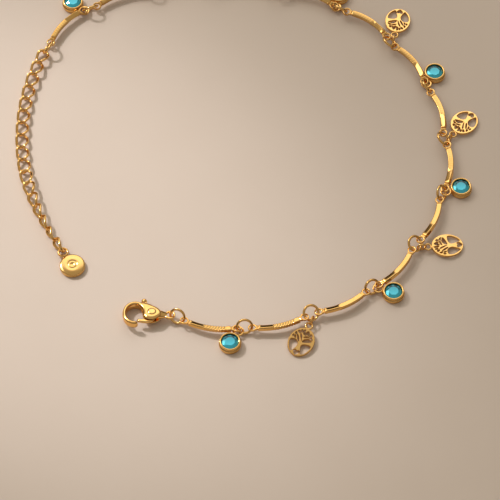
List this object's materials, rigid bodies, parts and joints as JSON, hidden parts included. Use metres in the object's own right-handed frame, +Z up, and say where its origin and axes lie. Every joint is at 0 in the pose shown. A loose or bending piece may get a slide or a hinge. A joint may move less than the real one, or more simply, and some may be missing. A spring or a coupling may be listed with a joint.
{
  "type": "charm anklet",
  "caption": "Open charm anklet: curved bars joined by jump rings, hung with round crystals and pierced tree discs, with a lobster clasp and an extension chain.",
  "frame": {"origin": "middle of the outline at the surface that the anklet lies on", "axes": "+Z up from the surface, +X from the clasp end toward the bars that lead away from it, +Y toward the hidden back of the loop"},
  "size_m": [0.1058, 0.1104, 0.0035],
  "materials": {
    "gold": "polished gold plate",
    "crystal": "faceted, clear aqua over a foil back"
  },
  "bodies": {
    "anklet": {"bar_1": "gold", "bar_2": "gold", "bar_3": "gold", "bar_4": "gold", "bar_5": "gold", "bar_6": "gold", "bar_7": "gold", "bar_8": "gold", "bar_9": "gold", "bar_10": "gold", "bar_11": "gold", "bar_12": "gold", "bar_13": "gold", "bar_14": "gold", "jump_ring_1": "gold", "jump_ring_2": "gold", "jump_ring_3": "gold", "jump_ring_4": "gold", "jump_ring_5": "gold", "jump_ring_6": "gold", "jump_ring_7": "gold", "jump_ring_8": "gold", "jump_ring_9": "gold", "jump_ring_10": "gold", "jump_ring_11": "gold", "jump_ring_12": "gold", "jump_ring_13": "gold", "crystal_setting_1": "gold", "crystal_setting_2": "gold", "crystal_setting_3": "gold", "crystal_setting_4": "gold", "crystal_setting_5": "gold", "crystal_setting_6": "gold", "crystal_setting_7": "gold", "crystal_stone_1": "crystal", "crystal_stone_2": "crystal", "crystal_stone_3": "crystal", "crystal_stone_4": "crystal", "crystal_stone_5": "crystal", "crystal_stone_6": "crystal", "crystal_stone_7": "crystal", "tree_charm_1": "gold", "tree_charm_2": "gold", "tree_charm_3": "gold", "tree_charm_4": "gold", "tree_charm_5": "gold", "tree_charm_6": "gold", "clasp_ring": "gold", "clasp_body": "gold", "extension_ring": "gold", "extension_chain": "gold", "tag": "gold"},
    "lever": {"clasp_lever": "gold"}
  },
  "joints": [
    {"name": "clasp_lever_hinge", "type": "hinge", "parent": "anklet", "child": "lever", "pos_m": [-0.02089, -0.04507, 0.00145], "axis": [0.0061, 0.1735, 0.9848], "range_deg": [-22, 0], "stiffness_Nm_per_rad": 0.004, "springref_deg": 11.46}
  ]
}
